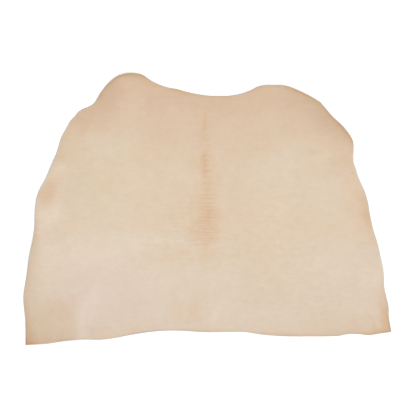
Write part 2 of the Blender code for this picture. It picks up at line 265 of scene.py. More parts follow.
PATCHES = [
    # left shoulder: browner tone, and painted shade where the shoulder curves down
    Patch("left shoulder", -430, 925, 57, 150, 62, 0.040, 0.050, 1.2),
    Patch("left lobe middle", -280, 880, 80, 120, 48, -0.060, 0.010, 1.2),
    Patch("left back pale", -366, 765, 8, 120, 46, -0.075, -0.006, 1.4),
    Patch("neck left", -189, 790, 20, 80, 48, 0.030, 0.000, 1.2),
    Patch("neck right", 75, 910, 322, 75, 26, 0.040, 0.000, 1.2),
    Patch("neck right pale", 272, 868, 0, 60, 38, -0.050, 0.000, 1.2),
    Patch("neck right pale low", 215, 838, 10, 80, 36, -0.035, 0.000, 1.2),
    # right shoulder: mostly painted shade where the shoulder's edge curves down
    Patch("right shoulder", 450, 905, 322, 170, 60, 0.015, 0.075, 1.5),
    Patch("right shoulder inner", 390, 852, 310, 90, 42, -0.035, 0.020, 1.2),
    Patch("right back pale", 305, 712, 8, 130, 66, -0.095, -0.004, 1.5),
    Patch("right back low", 322, 636, 0, 90, 30, -0.035, 0.000, 1.2),
    Patch("right side pale", 440, 592, 30, 120, 50, -0.065, 0.002, 1.2),
    Patch("right side pale low", 494, 522, 50, 50, 34, -0.050, 0.000, 1.2),
    Patch("right armpit", 536, 680, 112, 100, 46, 0.070, 0.000, 1.2),
    Patch("right flank", 618, 510, 102, 105, 42, 0.130, 0.025, 1.2),
    Patch("left upper flank", -565, 755, 60, 50, 28, 0.035, 0.015, 1.2),
    Patch("left armpit edge", -566, 727, 65, 24, 12, 0.060, 0.012, 1.2),
    Patch("left armpit pale", -578, 682, 20, 44, 22, -0.030, 0.006, 1.2),
    Patch("left armpit spot", -562, 685, 60, 20, 14, -0.050, -0.012, 1.2),
    Patch("left hip edge pale", -640, 545, 80, 22, 9, -0.060, -0.010, 1.2),
    Patch("left hip", -607, 588, 70, 44, 32, 0.150, 0.035, 1.6),
    Patch("left hip pale", -505, 572, 80, 70, 50, -0.060, 0.012, 1.2),
    Patch("left flank pale", -570, 500, 30, 58, 30, -0.105, 0.002, 1.4),
    Patch("left flank pale low", -592, 345, 92, 160, 42, -0.042, 0.000, 1.3),
    # painted shade along the left edge, where it curves down
    Patch("left edge painted shade", -662, 400, 97, 170, 30, -0.030, 0.035, 1.2),
    Patch("left back grey", -490, 640, 90, 120, 66, 0.000, 0.028, 1.2),
    Patch("left middle pale", -365, 505, 2, 150, 60, -0.040, 0.000, 1.2),
    Patch("left middle low", -300, 520, 90, 60, 60, -0.020, 0.000, 1.2),
    Patch("left belly pale", -405, 372, 4, 190, 62, -0.085, -0.010, 1.5),
    Patch("left belly end", -510, 405, 0, 70, 34, -0.030, 0.004, 1.2),
    Patch("left low pale", -410, 235, 10, 170, 105, -0.050, 0.000, 1.3),
    Patch("middle left pale", -215, 395, 3, 75, 36, -0.055, 0.000, 1.2),
    Patch("middle left low", -180, 240, 20, 100, 80, -0.032, -0.012, 1.2),
    Patch("below ridge", -85, 342, 0, 120, 26, 0.040, 0.000, 1.2),
    Patch("below backbone", 75, 248, 355, 85, 36, -0.040, 0.000, 1.2),
    Patch("right middle", 185, 372, 350, 120, 60, 0.030, 0.000, 1.2),
    Patch("right middle low", 225, 262, 320, 100, 46, 0.050, 0.000, 1.2),
    Patch("right middle lowest", 215, 185, 10, 70, 30, 0.040, 0.000, 1.2),
    Patch("right belly pale", 500, 338, 4, 150, 62, -0.065, 0.004, 1.3),
    Patch("right belly edge pale", 630, 270, 90, 80, 44, -0.050, 0.000, 1.3),
    Patch("left corner", -585, 52, 84, 112, 98, 0.080, 0.012, 4.0),
    Patch("left corner side", -529, 122, 90, 60, 33, 0.050, 0.000, 3.0),
    Patch("left corner wide", -600, 95, 100, 130, 90, 0.020, 0.005, 1.3),
    Patch("left corner tip", -665, 27, 30, 70, 40, 0.060, 0.030, 1.2),
    Patch("left low middle", -360, 95, 10, 120, 46, -0.040, 0.010, 1.2),
    # painted shade along the cut edge at the foot of the left corner wave
    Patch("left wave foot", -495, 48, 4, 130, 28, 0.000, 0.045, 1.3),
    Patch("left lobe rim", -262, 1028, 335, 60, 22, 0.000, 0.030, 1.2),
    Patch("left of backbone low", -143, 117, 90, 60, 44, -0.030, 0.000, 1.2),
    Patch("backbone end", -42, 136, 88, 50, 23, 0.125, -0.004, 2.0),
    Patch("backbone end left", -100, 130, 85, 60, 34, 0.060, 0.000, 1.2),
    Patch("right of backbone end", 8, 135, 85, 60, 40, 0.020, -0.028, 1.2),
    Patch("middle fold foot", 44, 122, 66, 60, 24, -0.040, -0.010, 1.2),
    Patch("right low pale", 288, 259, 0, 44, 30, -0.025, 0.000, 1.2),
    Patch("right lobe foot pale", 182, 958, 20, 50, 30, -0.030, 0.000, 1.2),
    Patch("right lobe side pale", 417, 915, 310, 60, 34, -0.030, 0.000, 1.2),
    Patch("right low", 390, 110, 0, 80, 40, -0.030, 0.000, 1.2),
    Patch("right low grey", 500, 190, 0, 120, 70, -0.004, 0.014, 1.2),
    Patch("right end", 515, 80, 178, 150, 46, 0.090, 0.006, 1.2),
    Patch("right corner", 690, 85, 98, 84, 32, 0.150, -0.010, 1.2),
    Patch("right corner rim", 688, 112, 97, 80, 12, 0.070, 0.000, 1.5),
    Patch("right corner hollow", 648, 80, 120, 38, 14, 0.080, 0.010, 1.2),
    # painted highlight on the right corner fold
    Patch("right corner bright", 640, 110, 120, 70, 34, -0.010, -0.035, 1.2),
    Patch("right half bright", 270, 510, 90, 110, 60, 0.000, -0.018, 1.2),
    Patch("left half bright", -270, 570, 90, 170, 60, 0.000, -0.010, 1.2),
    Patch("beside backbone", 120, 622, 90, 110, 30, 0.000, 0.028, 1.2),
    Patch("beside backbone high", 60, 728, 90, 60, 34, 0.020, 0.000, 1.2),
    Patch("beside backbone neck", -52, 880, 90, 55, 30, 0.025, 0.008, 1.2),
    Patch("beside backbone left", -118, 492, 20, 60, 40, 0.024, 0.010, 1.2),
    Patch("left lobe blot", -325, 980, 30, 36, 20, 0.040, 0.010, 1.2),
    Patch("left lobe grey", -312, 1014, 25, 42, 17, -0.080, 0.030, 1.2),
    Patch("left lobe blot low", -372, 880, 60, 50, 26, 0.024, 0.010, 1.2),
    Patch("right lobe blot", 346, 892, 330, 50, 24, 0.036, 0.014, 1.2),
    Patch("right lobe blot high", 287, 952, 350, 44, 20, 0.024, 0.010, 1.2),
    Patch("right lobe grey", 296, 982, 355, 52, 12, -0.060, 0.024, 1.2),
    Patch("right lobe blot low", 440, 830, 310, 38, 24, 0.036, 0.014, 1.2),
    Patch("left armpit blot", -568, 655, 60, 34, 20, 0.024, 0.010, 1.2),
    Patch("left hip low", -614, 545, 60, 26, 14, 0.020, 0.016, 1.2),
    Patch("left corner edge", -664, 148, 95, 44, 16, 0.040, 0.008, 1.2),
    Patch("left corner middle", -652, 62, 90, 42, 24, -0.085, -0.030, 1.2),
    # the two darker blots beside the left corner fold (fold side and fold shade) are painted shade
    Patch("left corner fold side", -441, 90, 90, 34, 10, 0.010, 0.022, 1.2),
    Patch("left corner fold foot", -477, 45, 90, 22, 12, -0.075, 0.000, 1.2),
    Patch("left corner fold shade", -447, 76, 90, 30, 9, 0.000, 0.022, 1.2),
    Patch("left corner shoulder", -509, 162, 100, 30, 16, 0.038, 0.012, 1.2),
    Patch("left corner inside pale", -519, 96, 90, 22, 20, -0.032, 0.000, 1.2),
    Patch("right flank blot", 607, 472, 105, 30, 13, 0.036, 0.012, 1.2),
    Patch("right flank high", 550, 610, 90, 22, 14, 0.034, 0.010, 1.2),
    Patch("right corner high", 661, 166, 95, 24, 12, -0.040, 0.000, 1.2),
    Patch("left hip foot", -602, 530, 80, 26, 17, 0.075, 0.012, 1.3),
    Patch("left flank inside pale", -634, 430, 94, 62, 10, -0.055, 0.000, 1.2),
    Patch("left hip side pale", -541, 600, 80, 34, 14, -0.045, 0.014, 1.2),
    Patch("left flank spot", -528, 490, 60, 30, 20, 0.050, 0.000, 1.2),
    Patch("left flank spot low", -562, 421, 10, 32, 13, 0.045, 0.010, 1.2),
    Patch("left flank spot pale", -514, 427, 60, 20, 13, -0.045, 0.000, 1.2),
    Patch("cone left", -76, 478, 90, 26, 10, 0.060, 0.000, 1.2),
    Patch("cone left low", -46, 454, 90, 14, 9, 0.050, 0.000, 1.2),
    Patch("cone right low", 55, 437, 90, 20, 10, 0.065, 0.000, 1.2),
    Patch("cone foot", -14, 385, 0, 26, 9, 0.045, 0.000, 1.2),
]

# Stretches of the rim with a thin line that is browner (or paler, below zero) or darker than the
# rim elsewhere: centred at a place on the edge, reach is how far it runs either way, and depth is
# how far in from the edge it lies. The darker lines within a few millimetres of the edge are a
# painted shadow of the cut edge.
RimLine = namedtuple("RimLine", "name across along reach depth tan dark")

RIM_LINES = [
    RimLine("left lobe", -312, 1043, 82, 6.4, 0.11, 0),
    RimLine("left lobe foot", -196, 1012, 34, 6.4, 0.07, 0),
    RimLine("neck slope", -98, 983, 44, 6.4, 0.18, 0),
    RimLine("neck at backbone", -25, 965, 44, 6.4, 0.07, 0),
    RimLine("right lobe foot", 204, 996, 32, 6.0, 0.25, 0),
    RimLine("right lobe top", 300, 1001, 30, 6.4, 0.07, 0),
    RimLine("right lobe fall", 365, 978, 62, 6.0, 0.26, 0),
    RimLine("right lobe end", 500, 870, 60, 6.4, 0.07, 0),
    RimLine("right bend", 564, 796, 36, 6.4, 0.11, -0.02),
    RimLine("right armpit", 570, 728, 34, 6.4, 0.14, -0.05),
    RimLine("right belly", 692, 215, 40, 6.4, 0.08, 0),
    RimLine("right tip", 640, 40, 34, 6.4, 0.12, -0.04),
    RimLine("right hollow", 308, 34, 46, 6.0, 0.24, -0.03),
    RimLine("right step", 222, 40, 44, 6.4, 0.10, 0),
    RimLine("middle of the cut", 20, 51, 90, 6.4, 0.07, 0),
    RimLine("left step", -390, 21, 44, 6.4, 0.06, 0),
    RimLine("left belly", -700, 190, 120, 6.4, -0.10, 0),
    RimLine("left hip", -632, 610, 50, 6.4, -0.08, 0),
    RimLine("left lobe crown", -300, 1043, 50, 3.5, 0.23, 0),
    RimLine("left lobe round", -338, 1033, 30, 4.5, 0.18, -0.05),
    RimLine("left lobe rise", -410, 962, 34, 2.0, -0.14, 0.03),
    RimLine("left shoulder", -485, 902, 36, 1.5, -0.22, -0.04),
    RimLine("left bend", -526, 850, 50, 1.5, -0.18, 0),
    RimLine("left upper flank", -570, 745, 60, 1.5, -0.12, 0),
    RimLine("left hip outside", -636, 605, 40, 1.5, -0.12, 0.02),
    RimLine("left belly outside", -698, 190, 42, 3.0, -0.38, 0),
    RimLine("left belly low", -693, 93, 50, 3.0, -0.22, -0.08),
    RimLine("left belly high", -686, 275, 40, 3.0, -0.16, 0),
    RimLine("left run", -622, 5, 36, 1.5, -0.20, 0),
    RimLine("left wave foot", -541, 16, 28, 3.5, -0.22, 0.22),
    RimLine("left step outside", -236, 48, 62, 1.8, -0.14, 0.26),
    RimLine("left of backbone outside", -85, 55, 70, 1.2, -0.04, 0.16),
    RimLine("backbone end outside", -10, 51, 44, 1.8, 0, 0.13),
    RimLine("right run outside", 482, 34, 40, 1.5, -0.10, 0.11),
    RimLine("right notch outside", 560, 42, 36, 1.5, -0.15, 0.03),
    RimLine("right corner", 716, 51, 40, 2.0, -0.20, 0),
    RimLine("right corner rise", 706, 130, 50, 1.5, -0.10, 0),
    RimLine("right belly high", 683, 305, 50, 1.5, -0.08, 0),
    RimLine("right flank", 630, 520, 60, 1.5, -0.10, 0),
    RimLine("right shoulder", 540, 832, 30, 2.0, -0.20, 0.08),
    RimLine("right lobe side", 444, 934, 22, 3.0, -0.17, 0),
    RimLine("neck hollow", 30, 960, 44, 1.2, 0.30, -0.03),
    RimLine("neck hollow right", 92, 960, 36, 2.0, 0.16, 0),
    RimLine("left lobe side", -369, 1011, 24, 6.0, -0.11, 0),
    RimLine("left lobe foot outside", -203, 1015, 30, 2.0, -0.12, 0),
    RimLine("left lobe rise inside", -405, 968, 30, 8.0, 0, 0.07),
    RimLine("left bend low", -551, 807, 26, 2.0, -0.12, 0),
    RimLine("left armpit inside", -600, 671, 34, 8.0, 0.03, 0.05),
    RimLine("left hip inside", -632, 612, 44, 8.0, 0.02, 0.055),
    RimLine("left flank inside", -657, 450, 46, 10.5, 0.09, 0.02),
    RimLine("left flank low", -675, 349, 40, 3.0, -0.05, -0.08),
    RimLine("left belly high inside", -686, 280, 40, 11.0, 0.09, 0),
    RimLine("left belly inside", -700, 190, 45, 11.0, 0.12, 0),
    RimLine("left belly low inside", -693, 93, 50, 11.0, 0.06, 0),
    RimLine("left corner inside", -688, 6, 16, 12.0, 0.10, 0),
    RimLine("left corner side", -692, 42, 30, 4.0, -0.34, -0.28),
    RimLine("left corner side inside", -692, 46, 30, 11.0, -0.17, -0.02),
    RimLine("right tip inside", 678, 50, 22, 8.0, -0.10, 0),
    RimLine("right bend outside", 569, 790, 24, 1.5, -0.04, 0.09),
    RimLine("right bend inside", 567, 790, 24, 9.5, 0.07, 0),
    RimLine("right shoulder inside", 540, 832, 34, 9.0, 0, 0.07),
]

# Cast of the grain, up the hide and in patches: green is how much greener, or pinker when below
# zero, the grain is than its plain tan, in thousandths.
CastLevel = namedtuple("CastLevel", "along green")

CAST_LEVELS = [
    CastLevel(40, 5),
    CastLevel(170, 5),
    CastLevel(260, 7),
    CastLevel(380, 9),
    CastLevel(500, 11),
    CastLevel(640, 12),
    CastLevel(780, 10),
    CastLevel(840, 8),
    CastLevel(890, 4),
    CastLevel(960, 0),
]

Cast = namedtuple("Cast", "name across along heading reach width green firm")

CASTS = [
    Cast("left back", -420, 640, 90, 190, 160, 8, 1.5),
    Cast("left of backbone", -150, 690, 90, 120, 50, -4, 1.2),
    Cast("right back", 365, 650, 90, 170, 150, 6, 1.3),
    Cast("right of backbone", 134, 640, 90, 120, 34, -5, 1.2),
    Cast("left below", -410, 182, 8, 225, 110, -20, 1.7),
    Cast("right belly", 560, 330, 4, 110, 90, -7, 1.2),
    Cast("left hip", -605, 590, 70, 50, 36, -14, 1.2),
    Cast("left below middle", -190, 160, 20, 90, 80, -9, 1.2),
    Cast("below backbone left", -100, 345, 0, 110, 55, 9, 1.2),
    Cast("below backbone right", 120, 350, 0, 120, 60, 9, 1.2),
    Cast("right below high", 215, 270, 0, 60, 50, 7, 1.2),
    Cast("right below", 290, 190, 10, 80, 60, 6, 1.2),
    Cast("backbone end", -60, 130, 90, 70, 44, 7, 1.2),
    Cast("middle fold", 60, 150, 70, 70, 46, -8, 1.2),
    Cast("right flank", 615, 500, 100, 70, 46, -11, 1.2),
    Cast("right shoulder", 450, 836, 320, 90, 46, -10, 1.2),
    Cast("left notch", -480, 870, 50, 80, 50, -9, 1.2),
    Cast("left lobe foot", -200, 940, 0, 50, 46, -8, 1.2),
    Cast("left corner", -588, 100, 88, 88, 90, 17, 2.5),
    Cast("left corner rim", -650, 20, 5, 80, 40, -14, 1.2),
    Cast("left flank", -610, 440, 90, 120, 60, -4, 1.2),
    Cast("beside backbone low", -42, 480, 90, 64, 18, 13, 1.4),
    Cast("beside backbone pale", -50, 630, 0, 36, 17, 17, 1.4),
    Cast("beside backbone high", -30, 692, 90, 26, 13, 12, 1.2),
    Cast("right of backbone low", 55, 640, 90, 80, 13, 12, 1.4),
    Cast("backbone core", -2, 466, 90, 42, 11, -11, 1.2),
    Cast("backbone core right", 40, 505, 90, 42, 10, -10, 1.2),
    Cast("backbone spine", -2, 662, 90, 22, 8, -12, 1.2),
    Cast("backbone neck", 12, 822, 90, 26, 9, 14, 1.2),
]

# The stain along the backbone, up the hide: its core's centre, half width and tan, the place and
# tan of the narrow spine line, and how far the fainter stain beside it goes, left and right, and
# that stain's tan.
Band = namedtuple("Band", "along centre half tan spine_at spine left right beside")
SPINE_HALF = 8.5

BACKBONE = [
    Band(265, 0, 30, 0.00, 0, 0.00, 30, 30, 0.00),
    Band(310, 4, 28, 0.03, 0, 0.00, 32, 30, 0.00),
    Band(351, 6, 28, 0.08, 0, 0.00, 40, 40, 0.00),
    Band(378, 4, 26, 0.09, 0, 0.00, 40, 40, 0.00),
    Band(390, 4, 30, 0.11, 0, 0.00, 42, 52, 0.02),
    Band(397, 6, 30, 0.11, 0, 0.00, 46, 58, 0.05),
    Band(403, 6, 38, 0.08, 0, 0.00, 60, 56, 0.09),
    Band(417, 2, 34, 0.08, 0, 0.00, 66, 55, 0.11),
    Band(440, -4, 26, 0.06, 0, 0.00, 66, 52, 0.14),
    Band(463, 8, 32, 0.09, 0, 0.00, 60, 48, 0.12),
    Band(486, 4, 31, 0.195, 0, 0.00, 62, 64, 0.08),
    Band(509, 1, 32, 0.185, 0, 0.00, 66, 60, 0.075),
    Band(536, 6, 23, 0.145, 0, 0.00, 74, 54, 0.07),
    Band(567, 4, 30, 0.09, 0, 0.00, 52, 50, 0.06),
    Band(598, 8, 26, 0.115, 0, 0.00, 52, 54, 0.05),
    Band(618, 9, 22, 0.115, -2, 0.05, 44, 58, 0.07),
    Band(640, 11, 21, 0.09, -2, 0.06, 15, 58, 0.06),
    Band(659, 4, 22, 0.06, -4, 0.14, 58, 54, 0.07),
    Band(686, -6, 34, 0.06, -4, 0.19, 64, 42, 0.075),
    Band(713, 6, 28, 0.05, -4, 0.20, 68, 38, 0.07),
    Band(730, 6, 26, 0.05, -4, 0.18, 58, 34, 0.06),
    Band(745, 2, 22, 0.03, -5, 0.10, 30, 30, 0.00),
    Band(775, 2, 24, 0.035, -13, 0.09, 20, 26, 0.00),
    Band(813, 4, 24, 0.04, -9, 0.09, 16, 20, 0.00),
    Band(832, 4, 22, 0.03, -5, 0.15, 16, 18, 0.00),
    Band(845, 4, 22, 0.03, -4, 0.21, 16, 18, 0.00),
    Band(865, 2, 20, 0.02, -4, 0.17, 16, 18, 0.00),
    Band(880, 2, 18, 0.01, -2, 0.10, 16, 18, 0.00),
    Band(894, 0, 16, 0.00, -1, 0.06, 16, 18, 0.00),
    Band(915, 0, 16, 0.00, 4, 0.025, 16, 18, 0.00),
    Band(945, 0, 16, 0.00, 4, 0.00, 16, 18, 0.00),
]

# ---------------------------------------------------------------- outline functions


def ring_of_landmarks():
    """All landmarks once, anticlockwise from the left corner."""
    return CUT_EDGE[:-1] + RIGHT_FLANK[:-1] + NECK_EDGE[::-1][:-1] + LEFT_FLANK[::-1][:-1]


def place(mark):
    return np.array([mark.across, mark.along], float)


def tangent_at(before, here, after):
    to_here, from_here = here - before, after - here
    a, b = np.linalg.norm(to_here), np.linalg.norm(from_here)
    return (to_here / a * b + from_here / b * a) / (a + b)


def edge_spans():
    """For each landmark, rows of (across, along, rim, wide) up to the next landmark."""
    ring = ring_of_landmarks()
    spans = {}
    for i, mark in enumerate(ring):
        behind, ahead, beyond = ring[i - 1], ring[(i + 1) % len(ring)], ring[(i + 2) % len(ring)]
        start, end = place(mark), place(ahead)
        chord = end - start
        length = np.linalg.norm(chord)
        leave = arrive = chord / length
        if mark.name not in SHARP_CORNERS:
            leave = tangent_at(place(behind), start, end)
        if ahead.name not in SHARP_CORNERS:
            arrive = tangent_at(start, end, place(beyond))
        t = (np.arange(STEPS_PER_SPAN) / STEPS_PER_SPAN)[:, None]
        points = (
            start * (2 * t**3 - 3 * t**2 + 1)
            + leave * length * (t**3 - 2 * t**2 + t)
            + end * (3 * t**2 - 2 * t**3)
            + arrive * length * (t**3 - t**2)
        )
        ease = t * t * (3 - 2 * t)
        tone = np.array([mark.rim, mark.wide]) * (1 - ease) + np.array([ahead.rim, ahead.wide]) * ease
        spans[mark.name] = np.hstack([points, tone])
    return spans


SPANS = edge_spans()
OUTLINE = np.vstack([SPANS[mark.name] for mark in ring_of_landmarks()])
MIDDLE = (OUTLINE[:, :2].min(0) + OUTLINE[:, :2].max(0)) / 2


def side_curve(side, forwards):
    """One side of the sheet as closely spaced points, from its first landmark to its last."""
    marks = side if forwards else side[::-1]
    points = np.vstack([SPANS[mark.name][:, :2] for mark in marks[:-1]] + [place(marks[-1])[None]])
    return points if forwards else points[::-1]


def lengths_of(points):
    return np.concatenate([[0.0], np.cumsum(np.linalg.norm(np.diff(points, axis=0), axis=1))])


def along_side(points, shares):
    """The places at these shares of the side's length."""
    far = lengths_of(points)
    want = np.asarray(shares) * far[-1]
    return np.stack([np.interp(want, far, points[:, k]) for k in (0, 1)], 1)


def share_at_backbone(points):
    """The share of a side's length at which it meets the backbone line."""
    far = lengths_of(points)
    return float(np.interp(0.0, points[:, 0], far) / far[-1])


# ---------------------------------------------------------------- smooth random fields


def lattice_noise(x, y, size, seed):
    """Smooth noise from -1 to 1 with features of this size, in millimetres."""
    table = np.random.default_rng(seed).random((128, 128)) * 2 - 1
    u, v = x / size + 300.5, y / size + 300.5
    i, j = np.floor(u).astype(int), np.floor(v).astype(int)
    fu, fv = u - i, v - j
    fu, fv = fu * fu * fu * (fu * (fu * 6 - 15) + 10), fv * fv * fv * (fv * (fv * 6 - 15) + 10)
    a, b = table[i % 128, j % 128], table[(i + 1) % 128, j % 128]
    c, d = table[i % 128, (j + 1) % 128], table[(i + 1) % 128, (j + 1) % 128]
    return (a * (1 - fu) + b * fu) * (1 - fv) + (c * (1 - fu) + d * fu) * fv


def layered_noise(x, y, size, seed, layers=3):
    total, weight = 0.0, 0.0
    for k in range(layers):
        total = total + lattice_noise(x, y, size / 2**k, seed + k) / 1.8**k
        weight += 1 / 1.8**k
    return total / weight


# ---------------------------------------------------------------- relief functions


def lift(x, y):
    """How far the leather's underside stands off the surface, in millimetres."""
    height = np.zeros_like(x)
    for wave in WAVES:
        heading = math.radians(wave.heading)
        dx, dy = x - wave.across, y - wave.along
        on_crest = dx * math.cos(heading) + dy * math.sin(heading)
        off_crest = dy * math.cos(heading) - dx * math.sin(heading)
        width = np.where(off_crest > 0, wave.left, wave.right)
        far = (on_crest / wave.reach) ** 2 + (off_crest / width) ** 2
        height += wave.height * np.clip(1.0 - far, 0, None) ** 2
    return height


def from_line(x, y, places, closeness=6):
    """Distance from a smooth line through places, and the share of its length passed there."""
    p = np.array(places, float)
    far = lengths_of(p)
    fine = np.linspace(0, far[-1], closeness * len(p))
    # a smooth curve through the places, by Hermite spans with central slopes
    slope = np.gradient(p, far, axis=0)
    k = np.clip(np.searchsorted(far, fine, side="right") - 1, 0, len(p) - 2)
    h = (far[k + 1] - far[k])[:, None]
    t = ((fine - far[k])[:, None]) / h
    q = (
        p[k] * (2 * t**3 - 3 * t**2 + 1)
        + slope[k] * h * (t**3 - 2 * t**2 + t)
        + p[k + 1] * (3 * t**2 - 2 * t**3)
        + slope[k + 1] * h * (t**3 - t**2)
    )
    best, passed = np.full(x.shape, 1e9), np.zeros(x.shape)
    for a, b, sa, sb in zip(q, q[1:], fine, fine[1:]):
        d = b - a
        share = np.clip(((x - a[0]) * d[0] + (y - a[1]) * d[1]) / (d @ d), 0, 1)
        gap = np.hypot(x - a[0] - share * d[0], y - a[1] - share * d[1])
        near = gap < best
        best[near] = gap[near]
        passed[near] = ((sa + share * (sb - sa)) / far[-1])[near]
    return best, passed


def ease(x, low, high):
    t = np.clip((x - low) / (high - low), 0, 1)
    return t * t * (3 - 2 * t)


def wrinkle_relief(x, y):
    """Growth wrinkles across the backbone: (height in mm, how deep in a wrinkle from 0 to 1)."""
    table = {key: np.array([getattr(z, key) for z in WRINKLES], float) for key in Zone._fields}
    rng = np.random.default_rng(7)
    height, crease = np.zeros_like(x), np.zeros_like(x)
    at = float(table["along"][0])
    while at < table["along"][-1]:
        now = {key: float(np.interp(at, table["along"], table[key])) for key in Zone._fields}
        # each wrinkle wanders a little, bends, and runs its own length either way
        lean, bend, shift = rng.normal(0, 0.035), rng.normal(0, 0.0012), rng.normal(0, 2.5)
        left = now["left"] * rng.uniform(0.65, 1.15)
        right = now["right"] * rng.uniform(0.65, 1.15)
        deep = now["depth"] * rng.uniform(0.6, 1.15)
        line = at + lean * (x - 4) + bend * (x - 4) ** 2 + 1.3 * lattice_noise(x, y * 0 + at, 23, 90)
        reach = np.where(x - 4 - shift < 0, left, right)
        fade = np.clip(1 - ((x - 4 - shift) / reach) ** 2, 0, None) ** 1.3
        off = (y - line) / (0.17 * now["pitch"])
        groove = np.exp(-(off**2)) * fade
        swell = np.exp(-(((np.abs(y - line) - 0.5 * now["pitch"]) / (0.3 * now["pitch"])) ** 2)) * fade
        height += deep * (0.35 * swell - groove)
        crease = np.maximum(crease, groove * min(1.0, deep / 0.5))
        at += now["pitch"] * rng.uniform(0.8, 1.2)
    return height, crease


def growth_lines(x, y):
    """Faint growth lines that run across the back on either side: (height in mm, weight)."""
    low = 300 - 150 * ease(x, 60, 180)
    weight = ease(x, -270, -120) * (1 - ease(x, 330, 520)) * ease(y, low, low + 60) * (1 - ease(y, 520, 620))
    weight = weight * (1 - 0.5 * ease(x, 60, 160) * ease(y, 350, 410))
    weight = weight * (1 - 0.3 * ease(x, 90, 190) * (1 - ease(y, 300, 360)))
    weight = weight * (0.35 + 0.65 * ease(lattice_noise(x, y, 85, 31), -0.4, 0.5))
    bent = y + 9 * lattice_noise(x, y, 120, 32) + 2.2 * lattice_noise(x, y, 34, 33) + 0.00009 * (x - 20) ** 2
    pitch = 15.0
    stripes = np.sin(2 * math.pi * (bent / pitch + 0.5 * lattice_noise(x, y, 70, 34)))
    # the lower right is mottled in much the same way, without the lines
    mottled = 0.5 * ease(x, 90, 170) * (1 - ease(x, 480, 560)) * ease(y, 70, 120) * (1 - ease(y, 290, 340))
    return 0.17 * weight * stripes, np.maximum(weight, mottled)


def fine_relief(x, y, edge):
    """What the grain adds to an even thickness, in mm, with the creases and growth-line weights."""
    height, crease = wrinkle_relief(x, y)
    lines, weight = growth_lines(x, y)
    height = height + lines
    for ridge in RIDGES:
        gap, passed = from_line(x, y, ridge.places)
        ends = ease(passed, 0, 0.18) * (1 - ease(passed, 0.75, 1))
        if ridge.name == "backbone":
            ends = ends * (0.55 + 0.45 * ease(lattice_noise(x, y, 60, 51), -0.5, 0.5))
        height = height + ridge.height * np.exp(-((gap / ridge.width) ** 2)) * ends
    # slow unevenness of a hide that has dried by itself, dying away towards the edge
    slow = 0.55 * layered_noise(x, y, 150, 61) + 0.22 * layered_noise(x, y, 48, 65, 2)
    height = height + slow * ease(edge, 5, 60)
    return height, crease, weight


# ---------------------------------------------------------------- tone functions


def tone(x, y, edge, rim, wide):
    """How brown (tan) and how grey (dark) the grain is painted at a place: the brown is the leather's tone, and the
    grey partly its tone and partly painted shade and painted light.
    """
    # the blots have wandering outlines
    wx = x + 16 * lattice_noise(x, y, 70, 71) + 6 * lattice_noise(x, y, 26, 72)
    wy = y + 16 * lattice_noise(x, y, 70, 73) + 6 * lattice_noise(x, y, 26, 74)
    slant = wy + 0.06 * x
    along = [level.along for level in LEVELS]
    tan = np.interp(slant, along, [level.tan for level in LEVELS])
    dark = np.interp(slant, along, [level.dark for level in LEVELS])
    for p in PATCHES:
        heading = math.radians(p.heading)
        dx, dy = wx - p.across, wy - p.along
        u = (dx * math.cos(heading) + dy * math.sin(heading)) / p.reach
        v = (dy * math.cos(heading) - dx * math.sin(heading)) / p.width
        blot = np.exp(-((u * u + v * v) ** p.firm))
        tan = tan + p.tan * blot
        dark = dark + p.dark * blot
    # the ridges' tan: painted highlight on raised crests, painted shade along sunken lines, and the flat streaks'
    # own tone
    for ridge in RIDGES:
        gap, passed = from_line(x, y, ridge.places)
        ends = ease(passed, 0, 0.15) * (1 - ease(passed, 0.8, 1))
        tan = tan + ridge.tan * np.exp(-((gap / (1.15 * ridge.width)) ** 2)) * ends
    bx = x + 2.0 * lattice_noise(x, y, 30, 75)
    by = y + 2.5 * lattice_noise(x, y, 26, 76)
    band = {key: np.interp(by, [b.along for b in BACKBONE], [getattr(b, key) for b in BACKBONE]) for key in Band._fields}
    tan = tan + band["tan"] * np.exp(-(((bx - band["centre"]) / band["half"]) ** 2))
    tan = tan + band["spine"] * np.exp(-(((bx - band["spine_at"]) / SPINE_HALF) ** 2))
    wide_x = x + 6 * lattice_noise(x, y, 34, 77) + 4 * lattice_noise(x, y, 13, 78)
    inside = (1 - ease(-wide_x, band["left"] - 9, band["left"] + 9)) * (1 - ease(wide_x, band["right"] - 13, band["right"] + 15))
    tan = tan + band["beside"] * inside * (1 + 0.3 * lattice_noise(x, y, 20, 79))
    # the edges: a thin dark rim, browner and with a painted shadow along the cut edge, and a wider browner band
    # with painted shade where the edge curves down
    tan = tan + 0.30 * rim * np.exp(-((edge / 12.0) ** 1.6)) + 0.16 * wide * np.exp(-edge / 42.0)
    dark = dark + 0.16 * rim * np.exp(-edge / 5.0) + 0.085 * wide * np.exp(-edge / 50.0)
    for line in RIM_LINES:
        reached = np.exp(-(((x - line.across) ** 2 + (y - line.along) ** 2) / line.reach**2))
        reached = reached * np.exp(-(((edge - line.depth) / 3.0) ** 2))
        tan = tan + line.tan * reached
        dark = dark + line.dark * reached
    tan = tan - 0.09 * np.exp(-(((edge - 2.5) / 3.2) ** 2)) + 0.025 * np.exp(-(((edge - 11.0) / 4.0) ** 2))
    tan = tan - 0.08 * np.exp(-(((edge - 1.0) / 2.6) ** 2)) + 0.035 * np.exp(-(((edge - 8.5) / 3.0) ** 2))
    dark = dark - 0.032 * np.exp(-(((edge - 9.5) / 4.0) ** 2))
    # the outermost few millimetres are greyer: a painted shadow along the cut edge, strongest along the cut at the
    # bottom and weaker on the far left
    tan = tan - 0.2 * np.exp(-((edge / 6.0) ** 2))
    dark = dark + (0.11 + 0.08 * (1 - ease(y, 70, 110)) - 0.05 * (1 - ease(x, -640, -500))) * np.exp(-((edge / 4.6) ** 2))
    return tan, dark


